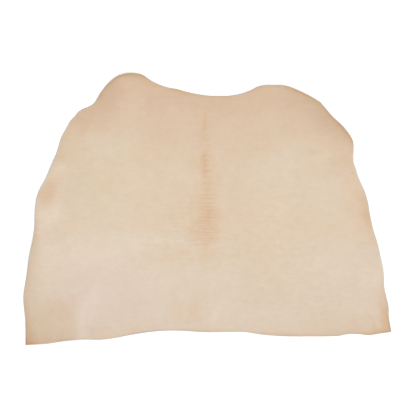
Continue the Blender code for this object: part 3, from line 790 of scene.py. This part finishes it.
def cast(x, y, edge, rim):
    """How green (above 0) or pink (below 0) the grain is beside its plain tan."""
    wx = x + 20 * lattice_noise(x, y, 60, 81)
    wy = y + 20 * lattice_noise(x, y, 60, 82)
    green = np.interp(wy, [along for along, _ in CAST_LEVELS], [green for _, green in CAST_LEVELS])
    for p in CASTS:
        heading = math.radians(p.heading)
        dx, dy = wx - p.across, wy - p.along
        u = (dx * math.cos(heading) + dy * math.sin(heading)) / p.reach
        v = (dy * math.cos(heading) - dx * math.sin(heading)) / p.width
        green = green + p.green * np.exp(-((u * u + v * v) ** p.firm))
    # the browned rim is more olive towards the neck
    green = green + 26 * rim * ease(y, 700, 960) * np.exp(-((edge / 15.0) ** 2))
    return green / 1000


# ---------------------------------------------------------------- the sheet


def graded(start, end, coarse, fine, low, high, blend):
    """Places from start to end, fine apart between low and high and coarse apart elsewhere."""
    at = np.linspace(start, end, 4001)
    near = ease(at, low - blend, low) * (1 - ease(at, high, high + blend))
    density = 1 / (coarse * (1 - near) + fine * near)
    count = np.concatenate([[0], np.cumsum((density[1:] + density[:-1]) / 2 * np.diff(at))])
    steps = 2 * int(round(count[-1] / 2))
    return np.interp(np.linspace(0, count[-1], steps + 1), count, at)


cut, right = side_curve(CUT_EDGE, True), side_curve(RIGHT_FLANK, True)
neck, left = side_curve(NECK_EDGE, False), side_curve(LEFT_FLANK, False)
CUT_SHARE, NECK_SHARE = share_at_backbone(cut), share_at_backbone(neck)
BACK = 0.49  # the columns' own share at the backbone


def sheet_places(u, v):
    """The grid of places (across, along) in mm: u runs across and v up, both from 0 to 1."""
    shares = [np.interp(u, [0, BACK, 1], [0, s, 1]) for s in (CUT_SHARE, NECK_SHARE)]
    low, high = along_side(cut, shares[0])[None], along_side(neck, shares[1])[None]
    near, far = along_side(left, v)[:, None], along_side(right, v)[:, None]
    s, t = u[None, :, None], v[:, None, None]
    return (
        low * (1 - t) + high * t + near * (1 - s) + far * s
        - cut[0] * (1 - s) * (1 - t) - cut[-1] * s * (1 - t)
        - neck[0] * (1 - s) * t - neck[-1] * s * t
    )


def sheet_grid():
    """u and v of the grid's lines: close together at the backbone and over its wrinkles."""
    width = cut[-1, 0] - cut[0, 0]
    u = graded(0, 1, 8.0 / width, 5.0 / width, BACK - 0.055, BACK + 0.065, 0.08)
    fine_v = np.linspace(0, 1, 801)
    up = sheet_places(np.array([BACK]), fine_v)[:, 0, 1]
    y = graded(float(up[0]), float(up[-1]), 7.0, 2.4, 385, 790, 60)
    v = np.interp(y, up, fine_v)
    v[0], v[-1] = 0.0, 1.0
    return u, v


def edge_data(x, y):
    """For each place: its distance from the edge, and the edge's rim and wide there."""
    tree = KDTree(len(OUTLINE))
    for i, p in enumerate(OUTLINE):
        tree.insert((p[0], p[1], 0.0), i)
    tree.balance()
    start, end = OUTLINE[:, :2], np.roll(OUTLINE[:, :2], -1, 0)
    count = len(OUTLINE)
    index = np.array([tree.find((a, b, 0.0))[1] for a, b in zip(x.ravel(), y.ravel())])
    gap = np.full(index.shape, 1e9)
    at = np.stack([x.ravel(), y.ravel()], 1)
    for k in (index, (index - 1) % count):
        d = end[k] - start[k]
        share = np.clip(((at - start[k]) * d).sum(1) / (d * d).sum(1), 0, 1)[:, None]
        gap = np.minimum(gap, np.linalg.norm(at - start[k] - share * d, axis=1))
    # rim and wide pass smoothly from one landmark to the next, also far inside
    return gap.reshape(x.shape), OUTLINE[index, 2].reshape(x.shape), OUTLINE[index, 3].reshape(x.shape)


def normals_of(x, y):
    """Upward normals of the lifted sheet."""
    h = 2.0
    gx = (lift(x + h, y) - lift(x - h, y)) / (2 * h)
    gy = (lift(x, y + h) - lift(x, y - h)) / (2 * h)
    n = np.stack([-gx, -gy, np.ones_like(gx)], -1)
    return n / np.linalg.norm(n, axis=-1, keepdims=True)


def border_of(rows, columns):
    """Grid indices round the border, anticlockwise from the left corner."""
    bottom = [(0, i) for i in range(columns)]
    rside = [(j, columns) for j in range(rows)]
    top = [(rows, i) for i in range(columns, 0, -1)]
    lside = [(j, 0) for j in range(rows, 0, -1)]
    return bottom + rside + top + lside


# The rounded cut edge: how far in from the outline and how far down from the grain each ring of
# points is, in millimetres. The grain's own border is the ring before the first.
Ring = namedtuple("Ring", "inward down")
EDGE_RINGS = [Ring(0.35, 0.22), Ring(0.05, 0.75), Ring(0.0, 1.5), Ring(0.08, 2.3), Ring(0.4, 2.85)]
GRAIN_INSET, FLESH_INSET = 1.1, 1.1


def make_hide():
    u, v = sheet_grid()
    flat = sheet_places(u, v)
    rows, columns = len(v) - 1, len(u) - 1
    border = border_of(rows, columns)
    loop = np.array([flat[j, i] for j, i in border])
    ahead, behind = np.roll(loop, -1, 0), np.roll(loop, 1, 0)
    way = ahead - behind
    way /= np.linalg.norm(way, axis=1)[:, None]
    inward = np.stack([-way[:, 1], way[:, 0]], 1)

    # the grain side: the grid, with its border drawn in by the rounding of the edge
    grain = flat.copy()
    for (j, i), step in zip(border, inward):
        grain[j, i] += step * GRAIN_INSET
    x, y = grain[..., 0], grain[..., 1]
    edge, rim, wide = edge_data(x, y)
    relief, crease, weight = fine_relief(x, y, edge)
    up = normals_of(x, y)
    thick = THICKNESS / MM + relief
    base = np.dstack([x - MIDDLE[0], y - MIDDLE[1], lift(x, y)])
    top = base + up * thick[..., None]

    tan, dark = tone(x, y, edge, rim, wide)

    # the cut edge: rings of points from the grain side down to the flesh side
    bx, by = loop[:, 0], loop[:, 1]
    rng = np.random.default_rng(11)
    fuzz = rng.normal(0, 0.06, (len(EDGE_RINGS), len(border)))
    rings, depths = [], []
    for k, ring in enumerate(EDGE_RINGS):
        px = bx + inward[:, 0] * (ring.inward + fuzz[k])
        py = by + inward[:, 1] * (ring.inward + fuzz[k])
        n = normals_of(px, py)
        foot = np.stack([px - MIDDLE[0], py - MIDDLE[1], lift(px, py)], 1)
        rings.append(foot + n * (THICKNESS / MM - ring.down))
        depths.append(np.full(len(border), ring.down / 3.0))

    # the flesh side: every other line of the grid
    under_u, under_v = np.arange(0, columns + 1, 2), np.arange(0, rows + 1, 2)
    low = flat.copy()
    for (j, i), step in zip(border, inward):
        low[j, i] += step * FLESH_INSET
    low = low[np.ix_(under_v, under_u)]
    under = np.dstack([low[..., 0] - MIDDLE[0], low[..., 1] - MIDDLE[1], lift(low[..., 0], low[..., 1])])
    ulast_j, ulast_i = len(under_v) - 1, len(under_u) - 1
    uborder = border_of(ulast_j, ulast_i)

    # one mesh, in metres
    verts = np.vstack([top.reshape(-1, 3), *rings, under.reshape(-1, 3)]) * MM
    n_top, n_ring = (rows + 1) * (columns + 1), len(border)
    ring_start = [n_top + k * n_ring for k in range(len(rings))]
    under_start = n_top + n_ring * len(rings)

    faces, slots, corners = [], [], []

    def grain_id(j, i):
        return j * (columns + 1) + i

    def under_id(j, i):
        return under_start + j * (ulast_i + 1) + i

    size = np.array([np.ptp(OUTLINE[:, 0]), np.ptp(OUTLINE[:, 1])])
    low_corner = OUTLINE[:, :2].min(0)
    scale = 0.98 / size[0]

    def map_top(p):
        return 0.01 + (p[..., 0] - low_corner[0]) * scale, 0.262 + (p[..., 1] - low_corner[1]) * scale

    small = 0.235 / size[1]

    def map_under(p):
        return 0.01 + (low_corner[0] + size[0] - p[..., 0]) * small, 0.008 + (p[..., 1] - low_corner[1]) * small

    tu, tv = map_top(grain)
    for j in range(rows):
        for i in range(columns):
            quad = [(j, i), (j, i + 1), (j + 1, i + 1), (j + 1, i)]
            faces.append([grain_id(*q) for q in quad])
            slots.append(0)
            corners.append([(tu[q], tv[q]) for q in quad])

    # strips of the cut edge lie side by side in the map, in five rows
    around = lengths_of(np.vstack([loop, loop[:1]]))
    rows_of_map, left_u, wide_u = 5, 0.345, 0.645
    per_row = around[-1] / rows_of_map * 1.01
    levels = [0.0] + [(r.down) / 3.0 for r in EDGE_RINGS] + [1.0]
    levels = np.interp(np.arange(len(levels)), [0, len(levels) - 1], [0.0, 1.0])

    def strip(k_from, k_to, level):
        """Map places at the ends of the stretch from one border point to a later one."""
        row = min(rows_of_map - 1, int(around[k_from] / per_row))
        base_v = 0.008 + row * 0.049
        return [
            (left_u + (around[k] - row * per_row) / per_row * wide_u, base_v + 0.040 * (1 - level))
            for k in (k_from, k_to)
        ]

    top_ids = [grain_id(j, i) for j, i in border]
    chain = [top_ids] + [[s + k for k in range(n_ring)] for s in ring_start]
    for level in range(len(chain) - 1):
        a, b = chain[level], chain[level + 1]
        for k in range(n_ring):
            k2 = (k + 1) % n_ring
            faces.append([b[k], b[k2], a[k2], a[k]])
            slots.append(1)
            (p0, p1), (q0, q1) = strip(k, k + 1, levels[level + 1]), strip(k, k + 1, levels[level])
            corners.append([p0, p1, q1, q0])
    last = chain[-1]
    for m, ((j0, i0), (j1, i1)) in enumerate(zip(uborder, uborder[1:] + uborder[:1])):
        k = 2 * m
        k1, k2 = k + 1, (k + 2) % n_ring
        faces.append([under_id(j0, i0), under_id(j1, i1), last[k2], last[k1], last[k]])
        slots.append(1)
        low0, low2 = strip(k, k + 2, 1.0)
        high0, high2 = strip(k, k + 2, levels[-2])
        high1 = ((high0[0] + high2[0]) / 2, high0[1])
        corners.append([low0, low2, high2, high1, high0])

    uu, uv = map_under(low)
    for j in range(ulast_j):
        for i in range(ulast_i):
            quad = [(j, i), (j + 1, i), (j + 1, i + 1), (j, i + 1)]
            faces.append([under_id(*q) for q in quad])
            slots.append(2)
            corners.append([(uu[q], uv[q]) for q in quad])

    mesh = bpy.data.meshes.new("hide_leather")
    mesh.from_pydata(verts.tolist(), [], faces)
    mesh.polygons.foreach_set("material_index", slots)
    layer = mesh.uv_layers.new(name="OFBake")
    layer.data.foreach_set("uv", np.array([c for face in corners for c in face], np.float32).ravel())
    mesh.shade_smooth()

    n_under = under.shape[0] * under.shape[1]
    border_at = (np.array([j for j, _ in border]), np.array([i for _, i in border]))

    def attribute(name, on_grain, on_edge, on_flesh):
        values = np.concatenate(
            [on_grain.ravel(), *[np.broadcast_to(e, n_ring) for e in on_edge], np.full(n_under, on_flesh)]
        )
        mesh.attributes.new(name, "FLOAT", "POINT").data.foreach_set("value", values.astype(np.float32))

    rings_n = len(rings)
    attribute("tan", tan, [tan[border_at]] * rings_n, 0.05)
    attribute("dark", dark, [dark[border_at]] * rings_n, 0.0)
    attribute("cast", cast(x, y, edge, rim), [0.0] * rings_n, 0.0)
    attribute("crease", crease, [0.0] * rings_n, 0.0)
    attribute("growth", weight, [0.0] * rings_n, 0.0)
    attribute("edge_mm", edge, [0.0] * rings_n, 0.0)
    attribute("depth", np.zeros_like(tan), depths, 1.0)

    mesh.validate()
    hide = bpy.data.objects.new("hide_leather", mesh)
    bpy.context.scene.collection.objects.link(hide)
    print("HIDE", rows, "rows", columns, "columns", sum(len(f) - 2 for f in faces), "triangles")
    return hide


# ---------------------------------------------------------------- materials


class Graph:
    """Small helper for building a node tree."""

    def __init__(self, name):
        self.material = bpy.data.materials.new(name)
        self.material.use_nodes = True
        self.tree = self.material.node_tree
        self.tree.nodes.clear()

    def node(self, kind, inputs=None, **settings):
        made = self.tree.nodes.new(kind)
        for key, value in settings.items():
            setattr(made, key, value)
        for key, value in (inputs or {}).items():
            self.set(made.inputs[key], value)
        return made

    def set(self, socket, value):
        if isinstance(value, bpy.types.NodeSocket):
            self.tree.links.new(value, socket)
        elif isinstance(value, bpy.types.Node):
            self.tree.links.new(value.outputs[0], socket)
        else:
            socket.default_value = value

    def math(self, operation, a, b=0.0, c=0.0, clamp=False):
        made = self.tree.nodes.new("ShaderNodeMath")
        made.operation = operation
        made.use_clamp = clamp
        for socket, value in zip(made.inputs, (a, b, c)):
            self.set(socket, value)
        return made.outputs[0]

    def attribute(self, name):
        return self.node("ShaderNodeAttribute", attribute_name=name).outputs["Fac"]

    def noise(self, vector, scale, detail=2.0, rough=0.5, distortion=0.0):
        return self.node(
            "ShaderNodeTexNoise",
            {"Vector": vector, "Scale": scale, "Detail": detail, "Roughness": rough, "Distortion": distortion},
        ).outputs["Fac"]

    def cells(self, vector, scale, feature="F1", smooth=None):
        made = self.node("ShaderNodeTexVoronoi", {"Vector": vector, "Scale": scale}, feature=feature)
        if smooth is not None:
            made.inputs["Smoothness"].default_value = smooth
        return made.outputs["Distance"]

    def stretched(self, vector, by):
        made = self.node("ShaderNodeMapping", {"Vector": vector})
        made.inputs["Scale"].default_value = by
        return made.outputs["Vector"]

    def ramp(self, fac, stops):
        made = self.node("ShaderNodeValToRGB", {"Fac": fac})
        ramp = made.color_ramp
        while len(ramp.elements) > 1:
            ramp.elements.remove(ramp.elements[-1])
        ramp.elements[0].position, ramp.elements[0].color = stops[0][0], (*stops[0][1], 1)
        for at, colour in stops[1:]:
            ramp.elements.new(at).color = (*colour, 1)
        return made.outputs["Color"]

    def finish(self, shader):
        out = self.tree.nodes.new("ShaderNodeOutputMaterial")
        self.tree.links.new(shader.outputs[0], out.inputs["Surface"])
        return self.material


PALE = (0.580, 0.4647, 0.360)  # linear colour of the palest, least tanned grain
TINT = (0.115, 0.533, 1.0)  # how much of each colour the tan takes away


def tanned(amount):
    return tuple(p * math.exp(-amount * t) for p, t in zip(PALE, TINT))


TAN_LOW, TAN_HIGH = -0.2, 0.8


CAST = (-0.467, 0.885, -0.418)  # what a green cast does to each colour


def leather_colour(g, tan, dark, green=None):
    """The tan ramp, darkened by dark and with a little green, or pink when green is below 0."""
    fac = g.math("DIVIDE", g.math("SUBTRACT", tan, TAN_LOW), TAN_HIGH - TAN_LOW, clamp=True)
    stops = [
        ((amount - TAN_LOW) / (TAN_HIGH - TAN_LOW), tanned(amount))
        for amount in (TAN_LOW, -0.05, 0.1, 0.25, 0.4, 0.6, TAN_HIGH)
    ]
    colour = g.ramp(fac, stops)
    grey = g.math("EXPONENT", g.math("MULTIPLY", dark, -1.0))
    scaled = g.node("ShaderNodeVectorMath", {0: colour}, operation="SCALE")
    g.set(scaled.inputs["Scale"], grey)
    colour = scaled.outputs["Vector"]
    if green is None:
        return colour
    shift = g.node("ShaderNodeVectorMath", {0: CAST}, operation="SCALE")
    g.set(shift.inputs["Scale"], green)
    factor = g.node("ShaderNodeVectorMath", {0: shift, 1: (1.0, 1.0, 1.0)}, operation="ADD")
    return g.node("ShaderNodeVectorMath", {0: colour, 1: factor}, operation="MULTIPLY").outputs["Vector"]


def grain_material():
    """Grain side: undyed vegetable-tanned leather, smooth, with pores, wrinkles and mottling."""
    g = Graph("hide_grain")
    at = g.node("ShaderNodeTexCoord").outputs["Object"]
    growth, crease = g.attribute("growth"), g.attribute("crease")

    # tone: masks laid on the sheet, whose dark is partly painted shade, mottling, fine growth lines, and painted
    # shade in the wrinkles' creases
    broad = g.noise(at, 9.0, 3.0, 0.55)
    mottle = g.noise(at, 34.0, 3.0, 0.6)
    speckle = g.noise(at, 120.0, 3.0, 0.6)
    lines_at = g.stretched(at, (16.0, 120.0, 40.0))
    lines = g.noise(lines_at, 1.0, 2.5, 0.55, 0.4)
    pores = g.cells(at, 620.0)
    tan = g.attribute("tan")
    tan = g.math("MULTIPLY_ADD", g.math("SUBTRACT", broad, 0.5), 0.10, tan)
    # the mottling is weaker on the pinker grain and stronger where the growth shows
    mottle_weight = g.math("MULTIPLY_ADD", growth, 0.07, g.math("MULTIPLY_ADD", g.attribute("cast"), 2.6, 0.155))
    tan = g.math("ADD", tan, g.math("MULTIPLY", g.math("SUBTRACT", mottle, 0.5), mottle_weight))
    tan = g.math("MULTIPLY_ADD", g.math("SUBTRACT", speckle, 0.5), 0.095, tan)
    line_weight = g.math("MULTIPLY_ADD", growth, 0.17, 0.06)
    tan = g.math("ADD", tan, g.math("MULTIPLY", g.math("SUBTRACT", lines, 0.5), line_weight))
    # painted shade in the wrinkles' creases: browner here
    tan = g.math("MULTIPLY_ADD", crease, 0.12, tan)
    pore_dark = g.math("SMOOTH_MIN", g.math("MULTIPLY", pores, 3.0), 1.0, 0.2)
    tan = g.math("MULTIPLY_ADD", g.math("SUBTRACT", 1.0, pore_dark), 0.03, tan)
    dark = g.attribute("dark")
    # and greyer: painted shade in the creases
    dark = g.math("MULTIPLY_ADD", crease, 0.07, dark)
    dark = g.math("MULTIPLY_ADD", g.math("SUBTRACT", g.noise(at, 24.0, 3.0, 0.6), 0.5), 0.055, dark)
    dark = g.math("MULTIPLY_ADD", g.math("SUBTRACT", g.noise(at, 140.0, 4.0, 0.65), 0.5), 0.075, dark)
    blotch_weight = g.math("MULTIPLY_ADD", growth, 0.07, 0.04)
    blotches = g.math("SUBTRACT", g.noise(g.stretched(at, (42.0, 75.0, 60.0)), 1.0, 2.0, 0.5), 0.5)
    dark = g.math("ADD", dark, g.math("MULTIPLY", blotches, blotch_weight))
    dark = g.math("ADD", dark, g.math("MULTIPLY", g.math("SUBTRACT", lines, 0.5), 0.045))
    green = g.math("MULTIPLY_ADD", g.math("SUBTRACT", g.noise(at, 19.0, 3.0, 0.55), 0.5), 0.03, g.attribute("cast"))
    colour = leather_colour(g, tan, dark, green)

    # relief that is too fine for the mesh
    fine = g.noise(at, 1500.0, 2.0, 0.6)
    pebble = g.cells(at, 900.0, "SMOOTH_F1", 0.6)
    wrinkle = g.noise(g.stretched(at, (60.0, 330.0, 100.0)), 1.0, 3.0, 0.6, 0.3)
    lumps = g.noise(at, 75.0, 2.0, 0.5)
    height = g.math("MULTIPLY", fine, 0.00005)
    height = g.math("MULTIPLY_ADD", pebble, 0.00009, height)
    height = g.math("MULTIPLY_ADD", pore_dark, 0.00005, height)
    height = g.math("ADD", height, g.math("MULTIPLY", wrinkle, g.math("MULTIPLY_ADD", growth, 0.0003, 0.00008)))
    height = g.math("MULTIPLY_ADD", lumps, 0.0004, height)
    bump = g.node("ShaderNodeBump", {"Height": height, "Strength": 1.0, "Distance": 1.0})

    rough = g.math("MULTIPLY_ADD", g.math("SUBTRACT", mottle, 0.5), 0.16, 0.56)
    rough = g.math("MULTIPLY_ADD", crease, 0.08, rough)
    rough = g.math("MULTIPLY_ADD", g.math("SUBTRACT", 1.0, pore_dark), 0.1, rough)
    shader = g.node("ShaderNodeBsdfPrincipled", {"Base Color": colour, "Roughness": rough, "Normal": bump})
    shader.inputs["Specular IOR Level"].default_value = 0.32
    return g.finish(shader)


def edge_material():
    """The cut edge: a firm grain layer on top and paler matted fibres below."""
    g = Graph("hide_edge")
    at = g.node("ShaderNodeTexCoord").outputs["Object"]
    depth = g.attribute("depth")
    fibres = g.noise(g.stretched(at, (500.0, 500.0, 1600.0)), 1.0, 3.0, 0.65)
    clumps = g.noise(at, 260.0, 2.0, 0.5)
    firm = g.math("SUBTRACT", 1.0, g.math("MULTIPLY", depth, 3.2, clamp=True), clamp=True)
    tan = g.math("MULTIPLY_ADD", firm, 0.12, g.math("MULTIPLY_ADD", g.attribute("tan"), 0.6, 0.12))
    tan = g.math("MULTIPLY_ADD", g.math("SUBTRACT", fibres, 0.5), 0.3, tan)
    dark = g.math("MULTIPLY_ADD", g.math("SUBTRACT", clumps, 0.5), 0.18, g.math("MULTIPLY_ADD", firm, 0.05, 0.06))
    colour = leather_colour(g, tan, dark)
    height = g.math("MULTIPLY_ADD", fibres, 0.00025, g.math("MULTIPLY", clumps, 0.0003))
    bump = g.node("ShaderNodeBump", {"Height": height, "Strength": 1.0, "Distance": 1.0})
    rough = g.math("MULTIPLY_ADD", fibres, 0.12, 0.78)
    shader = g.node("ShaderNodeBsdfPrincipled", {"Base Color": colour, "Roughness": rough, "Normal": bump})
    shader.inputs["Specular IOR Level"].default_value = 0.2
    return g.finish(shader)


def flesh_material():
    """Flesh side: pale, matt, with a short fibrous nap and loose fibre clumps."""
    g = Graph("hide_flesh")
    at = g.node("ShaderNodeTexCoord").outputs["Object"]
    nap = g.noise(g.stretched(at, (900.0, 260.0, 500.0)), 1.0, 4.0, 0.7, 0.6)
    clumps = g.noise(at, 45.0, 3.0, 0.6)
    veins = g.noise(at, 14.0, 2.0, 0.5, 1.4)
    tan = g.math("MULTIPLY_ADD", g.math("SUBTRACT", clumps, 0.5), 0.2, 0.08)
    tan = g.math("MULTIPLY_ADD", g.math("SUBTRACT", nap, 0.5), 0.16, tan)
    dark = g.math("MULTIPLY_ADD", g.math("SUBTRACT", veins, 0.5), 0.16, 0.06)
    dark = g.math("MULTIPLY_ADD", g.math("SUBTRACT", nap, 0.5), 0.2, dark)
    colour = leather_colour(g, tan, dark)
    height = g.math("MULTIPLY_ADD", nap, 0.0004, g.math("MULTIPLY", clumps, 0.0008))
    bump = g.node("ShaderNodeBump", {"Height": height, "Strength": 1.0, "Distance": 1.0})
    shader = g.node("ShaderNodeBsdfPrincipled", {"Base Color": colour, "Roughness": 0.92, "Normal": bump})
    shader.inputs["Specular IOR Level"].default_value = 0.15
    shader.inputs["Sheen Weight"].default_value = 0.15
    shader.inputs["Sheen Roughness"].default_value = 0.6
    return g.finish(shader)


hide = make_hide()
for material in (grain_material(), edge_material(), flesh_material()):
    hide.data.materials.append(material)
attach(hide, "root")
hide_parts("hide")


# ---------------------------------------------------------------- stage, light and camera


def make_stage():
    bpy.ops.mesh.primitive_plane_add(size=80.0, location=(0, 0, -0.0004))
    floor = bpy.context.object
    floor.name = "studio_floor"
    g = Graph("studio_floor")
    shader = g.node("ShaderNodeBsdfDiffuse", {"Color": (0.93, 0.93, 0.93, 1.0), "Roughness": 0.0})
    floor.data.materials.append(g.finish(shader))
    return floor


floor = make_stage()

world = bpy.data.worlds.new("studio")
bpy.context.scene.world = world
world.use_nodes = True
room = world.node_tree
room.nodes.clear()
ambient = room.nodes.new("ShaderNodeBackground")
ambient.inputs["Strength"].default_value = 0.72
backdrop = room.nodes.new("ShaderNodeBackground")
backdrop.inputs["Strength"].default_value = 1.3
for background in (ambient, backdrop):
    background.inputs["Color"].default_value = (1.0, 1.0, 1.0, 1.0)
rays = room.nodes.new("ShaderNodeLightPath")
either = room.nodes.new("ShaderNodeMixShader")
room.links.new(rays.outputs["Is Camera Ray"], either.inputs[0])
room.links.new(ambient.outputs[0], either.inputs[1])
room.links.new(backdrop.outputs[0], either.inputs[2])
surround = room.nodes.new("ShaderNodeOutputWorld")
room.links.new(either.outputs[0], surround.inputs["Surface"])


def far_light(name, azimuth, elevation, spread, strength):
    """A soft light so far off that it is even over the whole floor."""
    light = bpy.data.lights.new(name, "SUN")
    light.angle = math.radians(spread)
    light.energy = strength
    lamp = bpy.data.objects.new(name, light)
    a, e = math.radians(azimuth), math.radians(elevation)
    toward = Vector((math.cos(a) * math.cos(e), math.sin(a) * math.cos(e), math.sin(e)))
    lamp.location = toward * 5.0
    lamp.rotation_euler = (-toward).to_track_quat("-Z", "Y").to_euler()
    bpy.context.scene.collection.objects.link(lamp)
    return lamp


far_light("key", -35.0, 66.0, 50.0, 1.845)

PIXEL = 3.8487 * MM  # what one pixel of the 416 pixel frame covers at the hide
OVER = (10.7, 527.9)  # the place of the sheet, across and along, that the camera is over
LENS = 180.0
camera_data = bpy.data.cameras.new("camera")
camera_data.lens = LENS
camera_data.sensor_width = 36.0
camera = bpy.data.objects.new("camera", camera_data)
half = math.atan(camera_data.sensor_width / 2 / LENS)
height = 416 * PIXEL / 2 / math.tan(half)
camera.location = ((OVER[0] - MIDDLE[0]) * MM, (OVER[1] - MIDDLE[1]) * MM, height + 0.004)
camera.rotation_euler = (0.0, 0.0, 0.0)
camera_data.clip_end = 200.0
bpy.context.scene.collection.objects.link(camera)
bpy.context.scene.camera = camera

bpy.context.scene.view_settings.view_transform = "Standard"
bpy.context.scene.view_settings.look = "None"
bpy.context.scene.view_settings.exposure = 0.0
bpy.context.scene.view_settings.gamma = 1.0
